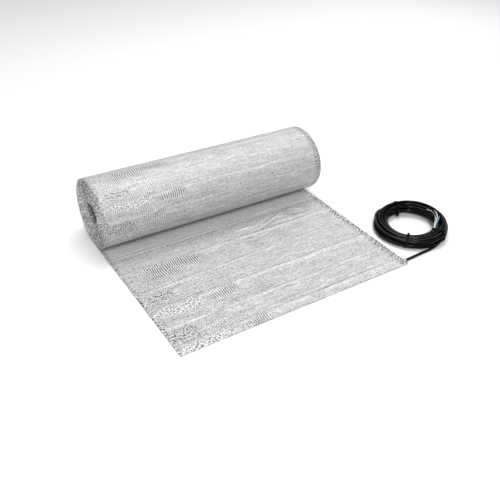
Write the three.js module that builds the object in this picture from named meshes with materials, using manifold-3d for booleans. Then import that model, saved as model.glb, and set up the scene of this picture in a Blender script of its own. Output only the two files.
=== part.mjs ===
// Underfloor heating mat, partly unrolled: aluminium foil laminate with its heating wire inside,
// and a black connecting lead in a tied coil beside it. Millimetres, +Z up.
// X runs along the roll, which is the mat's width. The flat stretch lies towards -Y, the roll at +Y.
// The origin is under the middle of the mat, on the floor.
import * as THREE from "three";
import { mergeVertices } from "three/addons/utils/BufferGeometryUtils.js";
import Module from "manifold-3d";

// Mat
const matWidth = 500;
const flatLength = 363.2;
const sheetThickness = 2.2;
const turnGap = 1.9;
const turnCount = 12;
const boreWidth = 56.8;
const boreHeight = 43;
const grooveDepth = 5;
const stepsPerTurn = 32;

// Heating wire runs, which show as low ridges across the mat
const firstWire = 65;
const wireSpacing = 97;
const ridgeHeight = 0.9;
const ridgeWidth = 7;

// Pocket of foil over the joint between the heating wire and the lead
const exitFromFront = 10;
const pocketLength = 30;
const pocketWidth = 15;
const pocketFoil = 0.5;

// Lead and its coil
const leadDiameter = 5.4;
const coilCentre = new THREE.Vector2(339.4, -130.9);
const coilRadius = 62.5;
const bundleSides = 16;
const coilSteps = 56;
const leadSides = 10;

// The bundle of turns lies wide and low on the side near the mat, narrow and high on the far side
const bundleWidth = 32.2;
const widthSway = 0.366;
const widestAngle = 211;
const bundleHeight = 27.4;
const heightSway = 0.312;
const highestAngle = 14;

// Cable ties, each at its angle round the coil, with its head at an angle round the bundle
const tieWidth = 4;
const tieThickness = 1.2;
const tieHeadLength = 6;
const tieHeadHeight = 3.6;
const tieHeadWidth = 5.6;
const tieTailLength = 3;
const ties = [
  { name: "tie_back", coilAngle: 77, headAngle: 196 },
  { name: "tie_front", coilAngle: 220, headAngle: 95 },
  { name: "tie_right", coilAngle: 288, headAngle: 62 },
];

// Stripped cores at the lead's free end
const coreDiameter = 2.1;
const conductorDiameter = 1.2;
const coreSides = 8;

// Length of one straight step of a tube, in diameters
const stepDiameters = 2.2;

// Room left between pieces that touch
const clearance = 0.3;
const tieClearance = 0.45;
const coreClearance = 0.5;

const pitch = sheetThickness + turnGap;
const outerHalfWidth = boreWidth / 2 + turnCount * pitch;
const outerHalfHeight = boreHeight / 2 + turnCount * pitch;
const rollBack = outerHalfWidth - pitch / 4;
const frontY = -(flatLength + rollBack) / 2;
const rollY = frontY + flatLength;
const rightEdge = matWidth / 2;
const coilLift = tieThickness + tieClearance;

const foil = new THREE.MeshStandardMaterial({ color: 0xcfd1d3, roughness: 0.42, metalness: 0.85 });
const jacketBlack = new THREE.MeshStandardMaterial({ color: 0x0b0b0c, roughness: 0.35 });
const tieBlack = new THREE.MeshStandardMaterial({ color: 0x08080a, roughness: 0.5 });
const earthGreen = new THREE.MeshStandardMaterial({ color: 0xb9c34a, roughness: 0.45 });
const coreBlue = new THREE.MeshStandardMaterial({ color: 0x5d86b8, roughness: 0.45 });
const coreWhite = new THREE.MeshStandardMaterial({ color: 0xd4dce4, roughness: 0.45 });
const tinned = new THREE.MeshStandardMaterial({ color: 0xd9d6d0, roughness: 0.35, metalness: 0.9 });

const wasm = await Module();
wasm.setup();

// A closed three.js geometry as a solid that can be joined and cut.
function solidOf(geometry) {
  const bare = geometry.clone();
  bare.deleteAttribute("normal");
  bare.deleteAttribute("uv");
  const merged = mergeVertices(bare, 1e-4);
  const mesh = new wasm.Mesh({
    numProp: 3,
    vertProperties: new Float32Array(merged.attributes.position.array),
    triVerts: new Uint32Array(merged.index.array),
  });
  return new wasm.Manifold(mesh);
}

// The faces of a solid as a three.js geometry.
function geometryOf(solid) {
  const mesh = solid.getMesh();
  const geometry = new THREE.BufferGeometry();
  geometry.setAttribute("position", new THREE.BufferAttribute(mesh.vertProperties, 3));
  geometry.setIndex(new THREE.BufferAttribute(mesh.triVerts, 1));
  const faces = geometry.toNonIndexed();
  faces.computeVertexNormals();
  return faces;
}

// A section in the YZ plane carried along X from x0 to x1.
function extrudeAcross(shape, x0, x1) {
  const geometry = new THREE.ExtrudeGeometry(shape, { depth: x1 - x0, steps: 1, bevelEnabled: false });
  const along = new THREE.Matrix4().makeBasis(
    new THREE.Vector3(0, 1, 0),
    new THREE.Vector3(0, 0, 1),
    new THREE.Vector3(1, 0, 0),
  );
  return geometry.applyMatrix4(along).translate(x0, 0, 0);
}

// A point of the wound sheet in the YZ plane. The angle grows from the line where the roll touches
// the floor, round by the back, and inset is the depth below the sheet's outer face.
function onRoll(angle, inset) {
  const shrink = (pitch * angle) / (2 * Math.PI) + inset;
  return new THREE.Vector2(
    rollY + (outerHalfWidth - shrink) * Math.sin(angle),
    outerHalfHeight - (outerHalfHeight - shrink) * Math.cos(angle),
  );
}

// The outer turn's face, with three points for each ridge that a run of wire raises on it.
function outerTurnPoints() {
  const points = [];
  let length = flatLength;
  let wire = firstWire + wireSpacing * Math.ceil((flatLength + ridgeWidth - firstWire) / wireSpacing);
  for (let i = 0; i <= stepsPerTurn; i++) {
    const angle = (2 * Math.PI * i) / stepsPerTurn;
    const here = onRoll(angle, 0);
    if (i > 0) {
      const last = onRoll(angle - (2 * Math.PI) / stepsPerTurn, 0);
      const step = here.distanceTo(last);
      while (i < stepsPerTurn && wire + ridgeWidth / 2 < length + step) {
        if (wire - ridgeWidth / 2 > length) {
          for (const [offset, rise] of [[-0.5, 0], [0, ridgeHeight], [0.5, 0]]) {
            const share = (wire + offset * ridgeWidth - length) / step;
            const turn = angle + ((share - 1) * 2 * Math.PI) / stepsPerTurn;
            points.push(onRoll(turn, -rise));
          }
        }
        wire += wireSpacing;
      }
      length += step;
    }
    points.push(here);
  }
  return points;
}

// The flat stretch's upper face, from the roll to the front edge, with its ridges.
function flatTopPoints() {
  const points = [new THREE.Vector2(rollY, sheetThickness)];
  for (let wire = firstWire; wire + ridgeWidth < flatLength; wire += wireSpacing) {
    const y = frontY + wire;
    points.push(
      new THREE.Vector2(y - ridgeWidth / 2, sheetThickness),
      new THREE.Vector2(y, sheetThickness + ridgeHeight),
      new THREE.Vector2(y + ridgeWidth / 2, sheetThickness),
    );
  }
  points.push(new THREE.Vector2(frontY, sheetThickness));
  return points.sort((a, b) => b.x - a.x);
}

// The hollow of the roll: the inner face of the last turn, closed across the sheet's inner end.
function borePath() {
  const points = [];
  for (let i = 0; i <= stepsPerTurn; i++) {
    const angle = 2 * Math.PI * (turnCount - 1 + i / stepsPerTurn);
    points.push(onRoll(angle, sheetThickness));
  }
  return new THREE.Path(points.reverse());
}

// The spiral gap between the turns, from under the roll to the bore, with a short mouth at each end.
function gapShape() {
  const mouth = 1;
  const inset = 0.02;
  const outer = [new THREE.Vector2(rollY - mouth, sheetThickness + inset)];
  const inner = [new THREE.Vector2(rollY - mouth, pitch - inset)];
  const steps = stepsPerTurn * (turnCount - 1);
  for (let i = 0; i <= steps; i++) {
    const angle = (2 * Math.PI * i) / stepsPerTurn;
    outer.push(onRoll(angle, sheetThickness));
    inner.push(onRoll(angle, pitch));
  }
  const past = 2 * Math.PI * (turnCount - 1) + mouth / boreHeight;
  outer.push(onRoll(past, sheetThickness + clearance));
  inner.push(onRoll(past, pitch - clearance));
  return new THREE.Shape([...outer, ...inner.reverse()]);
}

// The mat: flat stretch and roll in one piece, its turns cut as a spiral into both ends.
function foilMat() {
  const outline = new THREE.Shape([
    new THREE.Vector2(frontY, 0),
    ...outerTurnPoints(),
    ...flatTopPoints(),
  ]);
  outline.holes.push(borePath());
  const body = solidOf(extrudeAcross(outline, -rightEdge, rightEdge));
  const past = 1;
  const leftGap = solidOf(extrudeAcross(gapShape(), -rightEdge - past, -rightEdge + grooveDepth));
  const rightGap = solidOf(extrudeAcross(gapShape(), rightEdge - grooveDepth, rightEdge + past));
  const grooved = body.subtract(leftGap).subtract(rightGap);
  const pocketHeight = leadDiameter + 2 * pocketFoil;
  const dome = new THREE.SphereGeometry(1, 28, 20);
  dome.scale(pocketLength, pocketWidth / 2, pocketHeight);
  dome.translate(rightEdge, frontY + exitFromFront, 0);
  const room = new THREE.BoxGeometry(matWidth, 2 * pocketWidth, 2 * pocketHeight);
  room.translate(0, frontY + exitFromFront, pocketHeight);
  const pocket = solidOf(dome).intersect(solidOf(room));
  return geometryOf(grooved.add(pocket));
}

// A closed round tube that follows a curve.
function tube(curve, diameter, sides) {
  const steps = Math.max(2, Math.ceil(curve.getLength() / (stepDiameters * diameter)));
  const section = new THREE.Shape();
  for (let i = 0; i < sides; i++) {
    const angle = (2 * Math.PI * i) / sides;
    const x = (diameter / 2) * Math.cos(angle);
    const y = (diameter / 2) * Math.sin(angle);
    if (i === 0) section.moveTo(x, y);
    else section.lineTo(x, y);
  }
  section.closePath();
  return new THREE.ExtrudeGeometry(section, { extrudePath: curve, steps, bevelEnabled: false });
}

// Half the bundle's width and height at an angle round the coil, both grown by an amount.
function bundleAt(coilAngle, grow) {
  const fromWidest = coilAngle - THREE.MathUtils.degToRad(widestAngle);
  const fromHighest = coilAngle - THREE.MathUtils.degToRad(highestAngle);
  return {
    halfWidth: (bundleWidth / 2) * (1 + widthSway * Math.cos(fromWidest)) + grow,
    halfHeight: (bundleHeight / 2) * (1 + heightSway * Math.cos(fromHighest)) + grow,
  };
}

// A point on the bundle's outside: x away from the coil's axis, y up from the bundle's underside.
function onBundle(coilAngle, bundleAngle, grow) {
  const { halfWidth, halfHeight } = bundleAt(coilAngle, grow);
  const middle = halfHeight - grow;
  return new THREE.Vector2(
    halfWidth * Math.cos(bundleAngle),
    middle + halfHeight * Math.sin(bundleAngle),
  );
}

// The bundle's section at an angle round the coil, grown by an amount.
function bundleSection(coilAngle, grow) {
  const points = [];
  for (let i = 0; i < bundleSides; i++) {
    points.push(onBundle(coilAngle, (2 * Math.PI * i) / bundleSides, grow));
  }
  return points;
}

// The outer shape of all the coil's turns together, grown by an amount: a round ring whose section
// is then stretched to the bundle's width and height at each angle.
function coilRing(grow) {
  const profile = [];
  for (let i = 0; i <= bundleSides; i++) {
    const bundleAngle = (2 * Math.PI * (i % bundleSides)) / bundleSides;
    profile.push(new THREE.Vector2(coilRadius + Math.cos(bundleAngle), Math.sin(bundleAngle)));
  }
  const ring = new THREE.LatheGeometry(profile, coilSteps).rotateX(Math.PI / 2);
  const position = ring.getAttribute("position");
  for (let i = 0; i < position.count; i++) {
    const coilAngle = Math.atan2(position.getY(i), position.getX(i));
    const across = Math.hypot(position.getX(i), position.getY(i)) - coilRadius;
    const place = onBundle(coilAngle, Math.atan2(position.getZ(i), across), grow);
    const radius = coilRadius + place.x;
    position.setXYZ(i, radius * Math.cos(coilAngle), radius * Math.sin(coilAngle), place.y);
  }
  return ring.translate(coilCentre.x, coilCentre.y, coilLift);
}

// The lead's way over the floor from the mat's edge to where it climbs into the coil.
const leadRadius = leadDiameter / 2;
const leadRoute = [
  new THREE.Vector3(rightEdge + clearance, frontY + exitFromFront, leadRadius),
  new THREE.Vector3(262, -210.2, leadRadius),
  new THREE.Vector3(276, -209.6, leadRadius),
  new THREE.Vector3(294, -208.7, leadRadius),
  new THREE.Vector3(312, -208.3, leadRadius),
  new THREE.Vector3(328, -207.2, leadRadius),
  new THREE.Vector3(341, -205.1, leadRadius + 0.6),
  new THREE.Vector3(352, -202.9, leadRadius + 2.3),
];

function leadRun() {
  const way = tube(new THREE.CatmullRomCurve3(leadRoute), leadDiameter, leadSides);
  return geometryOf(solidOf(way).subtract(solidOf(coilRing(clearance))));
}

// A tie's band round the bundle, with its head and the cut tail that stands out of the head.
function tieBand(coilAngle, headAngle) {
  const band = new THREE.Shape(bundleSection(coilAngle, tieClearance + tieThickness));
  band.holes.push(new THREE.Path(bundleSection(coilAngle, tieClearance).reverse()));
  const loop = new THREE.ExtrudeGeometry(band, { depth: tieWidth, steps: 1, bevelEnabled: false });
  loop.translate(0, 0, -tieWidth / 2);
  const seat = onBundle(coilAngle, headAngle, tieClearance + tieThickness / 2);
  const { halfWidth, halfHeight } = bundleAt(coilAngle, tieClearance);
  const outward = Math.atan2(Math.sin(headAngle) / halfHeight, Math.cos(headAngle) / halfWidth);
  const head = new THREE.BoxGeometry(tieHeadHeight, tieHeadLength, tieHeadWidth);
  head.translate(tieHeadHeight / 2, 0, 0);
  const tail = new THREE.BoxGeometry(tieTailLength + tieThickness, tieThickness, tieWidth);
  tail.translate(tieHeadHeight + (tieTailLength - tieThickness) / 2, 0, 0);
  for (const piece of [head, tail]) piece.rotateZ(outward).translate(seat.x, seat.y, 0);
  const room = new THREE.ExtrudeGeometry(new THREE.Shape(bundleSection(coilAngle, tieClearance)), {
    depth: 2 * tieHeadWidth,
    steps: 1,
    bevelEnabled: false,
  });
  room.translate(0, 0, -tieHeadWidth);
  return geometryOf(solidOf(loop).add(solidOf(head)).add(solidOf(tail)).subtract(solidOf(room)));
}

// Each core's way over the shoulder of the bundle: angle round the coil, angle round the bundle.
const cores = [
  {
    name: "earth",
    finish: earthGreen,
    bareLength: 50,
    route: [[297, 152], [309, 158], [320, 156], [331, 143], [343, 138], [355, 138], [369, 144]],
  },
  {
    name: "white",
    finish: coreWhite,
    bareLength: 6,
    route: [[297, 141], [309, 146], [320, 138], [331, 126], [341, 120], [351, 117]],
  },
  {
    name: "blue",
    finish: coreBlue,
    bareLength: 5,
    route: [[297, 130], [307, 134], [316, 128], [323, 118], [328, 111]],
  },
];

function coreCurve(route) {
  const rise = coreClearance + coreDiameter / 2;
  const points = route.map(([coilAngle, bundleAngle]) => {
    const round = THREE.MathUtils.degToRad(coilAngle);
    const over = THREE.MathUtils.degToRad(bundleAngle);
    const place = onBundle(round, over, rise);
    const radius = coilRadius + place.x;
    return new THREE.Vector3(
      coilCentre.x + radius * Math.cos(round),
      coilCentre.y + radius * Math.sin(round),
      coilLift + place.y,
    );
  });
  return new THREE.CatmullRomCurve3(points);
}

// The stretch of a curve between two lengths along it.
function stretch(curve, from, to) {
  const whole = curve.getLength();
  const pieces = Math.max(2, Math.ceil((to - from) / coreDiameter));
  const points = [];
  for (let i = 0; i <= pieces; i++) {
    points.push(curve.getPointAt(Math.min(1, (from + ((to - from) * i) / pieces) / whole)));
  }
  return new THREE.CatmullRomCurve3(points);
}

const group = new THREE.Group();

function addPiece(name, geometry, finish, parent) {
  const mesh = new THREE.Mesh(geometry, finish);
  mesh.name = name;
  parent.add(mesh);
  return mesh;
}

addPiece("foil_mat", foilMat(), foil, group);
addPiece("lead_run", leadRun(), jacketBlack, group);
addPiece("lead_coil", coilRing(0), jacketBlack, group);

for (const tie of ties) {
  const coilAngle = THREE.MathUtils.degToRad(tie.coilAngle);
  const headAngle = THREE.MathUtils.degToRad(tie.headAngle);
  const turned = new THREE.Group();
  turned.position.set(coilCentre.x, coilCentre.y, coilLift);
  turned.rotation.z = coilAngle;
  const band = addPiece(tie.name, tieBand(coilAngle, headAngle), tieBlack, turned);
  band.position.x = coilRadius;
  band.rotation.x = Math.PI / 2;
  group.add(turned);
}

for (const core of cores) {
  const curve = coreCurve(core.route);
  const whole = curve.getLength();
  const covered = whole - core.bareLength;
  const cover = stretch(curve, 0, covered);
  const bare = stretch(curve, covered + clearance, whole);
  addPiece("core_" + core.name, tube(cover, coreDiameter, coreSides), core.finish, group);
  addPiece("conductor_" + core.name, tube(bare, conductorDiameter, coreSides), tinned, group);
}

export default group;
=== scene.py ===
# %% [markdown]
# Underfloor heating mat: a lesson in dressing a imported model.
# The mat is a laminate of aluminium foil with a heating wire inside it, partly unrolled on the floor.
# Its black connecting lead leaves the front right corner and lies beside it in a coil with three ties.
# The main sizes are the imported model's, written here again as named values.
# This script makes the surfaces, the finishes, the light and the camera.

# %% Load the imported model
import bpy
import numpy as np
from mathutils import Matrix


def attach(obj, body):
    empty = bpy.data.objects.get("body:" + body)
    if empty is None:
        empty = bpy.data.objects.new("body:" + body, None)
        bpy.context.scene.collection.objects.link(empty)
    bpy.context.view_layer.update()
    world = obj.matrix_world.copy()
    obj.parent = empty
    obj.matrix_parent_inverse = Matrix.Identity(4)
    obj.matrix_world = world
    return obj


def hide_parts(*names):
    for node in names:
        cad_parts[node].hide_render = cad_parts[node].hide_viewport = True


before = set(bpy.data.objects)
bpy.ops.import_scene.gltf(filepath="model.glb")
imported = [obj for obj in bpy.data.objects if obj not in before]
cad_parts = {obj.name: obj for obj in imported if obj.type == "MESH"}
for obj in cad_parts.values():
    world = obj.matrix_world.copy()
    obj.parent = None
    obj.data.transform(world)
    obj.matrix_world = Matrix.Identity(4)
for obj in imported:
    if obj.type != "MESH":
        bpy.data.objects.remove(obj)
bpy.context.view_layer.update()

# %% [markdown]
# The camera stands where the photographer stood.
# Its place was solved from the mat's straight edges, which are taken to be 500 mm long, and it has no shift.
# It looks down from the front left, so it sees the roll's left end and the coil at the far right.

# %% Camera
CAMERA_PLACE = (-0.5728, -0.8783, 0.7209)
CAMERA_TURN_DEGREES = (55.011, -2.040, -32.782)
LENS_MM = 45.65
SENSOR_MM = 36.0

camera_data = bpy.data.cameras.new("camera")
camera_data.lens = LENS_MM
camera_data.sensor_width = SENSOR_MM
camera = bpy.data.objects.new("camera", camera_data)
camera.location = CAMERA_PLACE
camera.rotation_euler = np.radians(CAMERA_TURN_DEGREES)
bpy.context.scene.collection.objects.link(camera)
bpy.context.scene.camera = camera
print("camera at", CAMERA_PLACE, "lens", LENS_MM, "mm")

# %% [markdown]
# Every piece below is a surface on a grid: rows run along the piece and columns run across it.
# A grid is quick to work out as whole arrays, and its rows and columns give the piece its own UV map.
# Lengths are in millimetres until a mesh is made, so that the numbers read like a maker's drawing.


# %% Grids to meshes
def grid_faces(rows, columns, wrap=False):
    """Quads that join a grid of rows by columns: each point, the next across, and the two in the next row.
    A wrapped grid joins its last column to its first."""
    last = columns if wrap else columns - 1
    row, column = np.meshgrid(np.arange(rows - 1), np.arange(last), indexing="ij")
    after = (column + 1) % columns
    corners = [row * columns + column, row * columns + after]
    corners += [(row + 1) * columns + after, (row + 1) * columns + column]
    return np.stack(corners, axis=-1).reshape(-1, 4)


def tube_caps(rows, columns):
    """The first and the last row of a wrapped grid as two faces that close it."""
    return [np.arange(columns)[::-1], (rows - 1) * columns + np.arange(columns)]


def signed_volume(points, faces):
    """Six times the volume under the faces: the sum of each triangle's corner product, above 0 if they
    face out."""
    total = 0.0
    for k in (1, 2):
        a, b, c = points[faces[:, 0]], points[faces[:, k]], points[faces[:, k + 1]]
        total += np.einsum("ij,ij->i", a, np.cross(b, c)).sum()
    return total


def new_piece(name, points, faces, caps=(), uv=None, values=None):
    """One smooth mesh object at the origin from points in millimetres, quads, end caps, a UV for each
    point and named values for each point. Faces are turned over if they enclose a negative volume."""
    points = np.asarray(points, float).reshape(-1, 3)
    faces = np.asarray(faces)
    if signed_volume(points, faces) < 0:
        faces = faces[:, ::-1]
        caps = [cap[::-1] for cap in caps]
    corners = np.concatenate([faces.ravel(), *caps]).astype(np.int32)
    counts = np.concatenate([np.full(len(faces), 4), [len(cap) for cap in caps]]).astype(np.int32)
    starts = np.concatenate([[0], np.cumsum(counts)[:-1]]).astype(np.int32)
    mesh = bpy.data.meshes.new(name)
    mesh.vertices.add(len(points))
    mesh.vertices.foreach_set("co", (points / 1000).astype(np.float32).ravel())
    mesh.loops.add(len(corners))
    mesh.loops.foreach_set("vertex_index", corners)
    mesh.polygons.add(len(counts))
    mesh.polygons.foreach_set("loop_start", starts)
    mesh.update(calc_edges=True)
    mesh.polygons.foreach_set("use_smooth", np.ones(len(counts), dtype=bool))
    if uv is not None:
        layer = mesh.uv_layers.new(name="along")
        layer.data.foreach_set("uv", uv.reshape(-1, 2)[corners].astype(np.float32).ravel())
    for key, value in (values or {}).items():
        attribute = mesh.attributes.new(key, "FLOAT", "POINT")
        attribute.data.foreach_set("value", value.astype(np.float32).ravel())
    piece = bpy.data.objects.new(name, mesh)
    bpy.context.scene.collection.objects.link(piece)
    print(f"{name}: {len(points)} points, {int((counts - 2).sum())} triangles")
    return piece


# %% [markdown]
# The lead is one black cord, about 6.4 m long, and nearly all of it is wound in the coil.
# A coil made of separate rings would look false where the turns cross, so it is one line from end to end.
# The line is first laid from slot to slot in the bundle's section, one turn after another.
# Then the turns push each other apart and smooth themselves until no two share the same place.

# %% Sizes of the lead and its coil
LEAD_DIAMETER = 5.4
LEAD_RADIUS = LEAD_DIAMETER / 2
COIL_CENTRE = np.array([339.4, -130.9])
COIL_RADIUS = 62.5
COIL_LIFT = 1.65
BUNDLE_WIDTH, WIDTH_SWAY, WIDEST_ANGLE = 32.2, 0.366, np.radians(211)
BUNDLE_HEIGHT, HEIGHT_SWAY, HIGHEST_ANGLE = 27.4, 0.312, np.radians(14)
TURNS = 16
STATIONS = 72
COIL_START = np.radians(287)
STATIONS_PAST = 1

LEAD_ROUTE = np.array([
    [250.3, -209.8875, 2.7], [262, -210.2, 2.7], [276, -209.6, 2.7], [294, -208.7, 2.7],
    [312, -208.3, 2.7], [328, -207.2, 2.7], [341, -205.1, 3.3], [352, -202.9, 5.0],
])


def bundle_half(angle):
    """Half the bundle's width and height: each is its mean, swayed by the cosine of the angle from its
    widest or highest side."""
    width = BUNDLE_WIDTH / 2 * (1 + WIDTH_SWAY * np.cos(angle - WIDEST_ANGLE))
    height = BUNDLE_HEIGHT / 2 * (1 + HEIGHT_SWAY * np.cos(angle - HIGHEST_ANGLE))
    return width, height


def from_bundle(angle, across, up):
    """A point of the bundle's section, across from its middle and up from its middle, in space."""
    radius = COIL_RADIUS + across
    x = COIL_CENTRE[0] + radius * np.cos(angle)
    y = COIL_CENTRE[1] + radius * np.sin(angle)
    return np.stack([x, y, COIL_LIFT + bundle_half(angle)[1] + up], axis=-1)


# %% Where each turn starts in the bundle's section, as shares of the room that the strand has
SLOTS = np.array([
    [0.64, -0.77], [0.27, -0.80], [-0.10, -0.78], [-0.50, -0.70], [-0.86, -0.30], [-0.37, -0.31],
    [0.02, -0.30], [0.40, -0.31], [0.86, -0.30], [0.60, 0.14], [0.20, 0.14], [-0.16, 0.14],
    [-0.60, 0.16], [0.10, 0.60], [0.50, 0.62], [-0.10, 0.92], [-0.80, 0.57],
])
SLOT_ORDER = [0, 1, 5, 3, 4, 2, 6, 10, 8, 9, 7, 11, 12, 14, 13, 15, 16]


# %% Laying the turns
ROUNDS, LOOSE_ROUNDS = 700, 450
LOOSE_GAP, SNUG_GAP = 1.22, 1.03
SMOOTHING, PUSH, SCATTER = 0.45, 0.28, 0.4


def lay_turns():
    """The strand's place in the section at every station. It starts as a smooth drift from each turn's slot
    to the next one's. Then, again and again: each point moves to the mean of its neighbours along the
    strand, strands closer than a diameter at the same station move apart, and all stay in the ellipse."""
    count = TURNS * STATIONS + STATIONS_PAST + 1
    step = np.arange(count)
    angle = COIL_START + 2 * np.pi * step / STATIONS
    slots = SLOTS[SLOT_ORDER]
    turn, share = step // STATIONS, (step % STATIONS) / STATIONS
    after = np.minimum(turn + 1, TURNS)
    blend = (share * share * (3 - 2 * share))[:, None]
    place = slots[turn] * (1 - blend) + slots[after] * blend
    width, height = bundle_half(angle)
    room = np.stack([width - LEAD_RADIUS, height - LEAD_RADIUS], axis=-1)
    place = place * room
    ends = place[[0, -1]].copy()
    place += np.random.default_rng(7).normal(0, SCATTER, place.shape)
    padded = np.full(((TURNS + 1) * STATIONS, 2), np.nan)
    for round_number in range(ROUNDS):
        reach = LEAD_DIAMETER * (LOOSE_GAP if round_number < LOOSE_ROUNDS else SNUG_GAP)
        place[1:-1] += SMOOTHING * (place[:-2] + place[2:] - 2 * place[1:-1]) / 2
        padded[:count] = place
        strands = padded.reshape(TURNS + 1, STATIONS, 2)
        gap = strands[:, None] - strands[None]
        distance = np.sqrt((gap**2).sum(-1))
        near = np.where((distance > 1e-6) & (distance < reach), distance, np.nan)
        push = gap / near[..., None] * (reach - near)[..., None]
        place += PUSH * np.nansum(push, axis=1).reshape(-1, 2)[:count]
        outside = np.sqrt(((place / room) ** 2).sum(-1))
        place /= np.maximum(outside, 1)[:, None]
        place[[0, -1]] = ends
    padded[:count] = place
    strands = padded.reshape(TURNS + 1, STATIONS, 2)
    distance = np.sqrt(((strands[:, None] - strands[None]) ** 2).sum(-1))
    distance[np.arange(TURNS + 1), np.arange(TURNS + 1)] = np.nan
    print("strands: closest", round(float(np.nanmin(distance)), 2), "mm, share nearer than 0.8 diameter",
          round(float((np.nanmin(distance, axis=1) < 0.8 * LEAD_DIAMETER).mean()), 3))
    return angle, place


strand_angle, strand_place = lay_turns()
coil_line = from_bundle(strand_angle, strand_place[:, 0], strand_place[:, 1])


# %% [markdown]
# A cord is a circle carried along its line.
# The circle's frame is worked out from the line's direction and the vertical, for all points at once.
# A little rounding at each end closes the tube without a hard edge.


# %% Lines and tubes
def smooth_line(points, pieces):
    """A Catmull-Rom curve through the points: in each span, the cubic that leaves and meets the points with
    half the step between their neighbours."""
    first, last = 2 * points[:1] - points[1:2], 2 * points[-1:] - points[-2:-1]
    p = np.concatenate([first, points, last])
    t = (np.arange(pieces) / pieces)[None, :, None]
    a, b, c, d = (p[k : len(p) - 3 + k, None] for k in range(4))
    curve = b + 0.5 * t * (c - a) + t**2 * (a - 2.5 * b + 2 * c - 0.5 * d)
    curve += t**3 * (1.5 * (b - c) + 0.5 * (d - a))
    return np.concatenate([curve.reshape(-1, 3), points[-1:]])


def line_lengths(line):
    """The length along a line at each of its points: the running sum of its steps."""
    steps = np.linalg.norm(np.diff(line, axis=0), axis=1)
    return np.concatenate([[0], np.cumsum(steps)])


def cut_line(line, start, end, step):
    """The stretch of a line between two lengths along it, with points at even steps."""
    along = line_lengths(line)
    wanted = np.linspace(start, end, max(3, int(np.ceil((end - start) / step)) + 1))
    return np.stack([np.interp(wanted, along, line[:, k]) for k in range(3)], axis=-1)


def line_frame(line):
    """At each point: the direction, the sideways vector level with the floor, and the third one."""
    ahead = np.gradient(line, axis=0)
    ahead /= np.linalg.norm(ahead, axis=1)[:, None]
    side = np.cross(ahead, [0, 0, 1])
    side /= np.linalg.norm(side, axis=1)[:, None]
    return ahead, side, np.cross(side, ahead)


END_ROUND = 0.25


def tube(name, line, radius, sides, lobes=0, lobe_depth=0.0, twist_length=1.0):
    """A circle carried along a line. Its radius is 1 less a lobe wave that turns once in each twist length,
    and the first and last rings are drawn in so that the ends are round."""
    ahead, side, up = line_frame(line)
    along = line_lengths(line)
    cap = radius * END_ROUND
    line = np.concatenate([line[:1] - ahead[:1] * cap, line, line[-1:] + ahead[-1:] * cap])
    side = np.concatenate([side[:1], side, side[-1:]])
    up = np.concatenate([up[:1], up, up[-1:]])
    along = np.concatenate([along[:1] - cap, along, along[-1:] + cap])
    size = np.full(len(line), radius)
    size[[0, -1]] = radius - cap
    turn = np.linspace(0, 2 * np.pi, sides, endpoint=False)[None, :]
    if lobes:
        wave = np.abs(np.sin((turn - 2 * np.pi * along[:, None] / twist_length) * lobes / 2))
        size = size[:, None] * (1 - lobe_depth * (1 - wave))
    else:
        size = np.repeat(size[:, None], sides, axis=1)
    way = np.cos(turn)[..., None] * side[:, None] + np.sin(turn)[..., None] * up[:, None]
    points = line[:, None] + size[..., None] * way
    rows = len(line)
    # The map folds back half way round, so that it has no seam.
    round_share = np.minimum(turn, 2 * np.pi - turn) / np.pi
    uv = np.stack(np.broadcast_arrays(round_share * np.pi * radius / 1000, along[:, None] / 1000), axis=-1)
    return new_piece(name, points, grid_faces(rows, sides, wrap=True), tube_caps(rows, sides), uv)


# %% The lead
route_and_coil = np.concatenate([LEAD_ROUTE[-1:], coil_line])
lead_line = np.concatenate([smooth_line(LEAD_ROUTE, 3)[:-1], smooth_line(route_and_coil, 1)])
SIDES = 14
lead = tube("lead", lead_line, LEAD_RADIUS, SIDES)
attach(lead, "root")
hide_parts("lead_run", "lead_coil")

# %% [markdown]
# Each cable tie is a flat nylon band pulled tight round the bundle, with a square head and a cut tail.
# A tight band follows the outermost strands and runs straight between them, which is the strands' hull.
# The hull is found by asking, for each direction round the bundle, which strand reaches furthest that way.

# %% Cable ties
TIE_WIDTH = 4.0
TIE_THICKNESS = 1.2
TIE_GAP = 0.1
TIE_HEAD = np.array([3.6, 6.0, 5.6])
TIE_RIB = np.array([1.0, 3.4, 2.6])
TIE_TAIL = np.array([3.6, 1.1, 3.6])
TIE_TAIL_SUNK = 0.6
TIE_CORNER = 0.3
TIES = [("tie_back", 77, 196), ("tie_front", 220, 95), ("tie_right", 288, 62)]


def strands_at(angle):
    """Every strand's place in the section at one angle round the coil, read between the stations."""
    turns = angle + 2 * np.pi * np.arange(-1, TURNS + 2)
    turns = turns[(turns >= strand_angle[0]) & (turns <= strand_angle[-1])]
    return np.stack([np.interp(turns, strand_angle, strand_place[:, k]) for k in range(2)], axis=-1)


def hull_line(strands, rise, count):
    """The taut line round the strands, at even steps: for each direction the furthest strand's middle plus
    a radius and the rise that way. Between two strands it runs straight."""
    turn = np.linspace(0, 2 * np.pi, 1440, endpoint=False)
    way = np.stack([np.cos(turn), np.sin(turn)], axis=-1)
    furthest = np.argmax(way @ strands.T, axis=1)
    line = strands[furthest] + (LEAD_RADIUS + rise) * way
    closed = np.concatenate([line, line[:1]])
    along = np.concatenate([[0], np.cumsum(np.linalg.norm(np.diff(closed, axis=0), axis=1))])
    wanted = np.linspace(0, along[-1], count, endpoint=False)
    return np.stack([np.interp(wanted, along, closed[:, k]) for k in range(2)], axis=-1)


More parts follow.
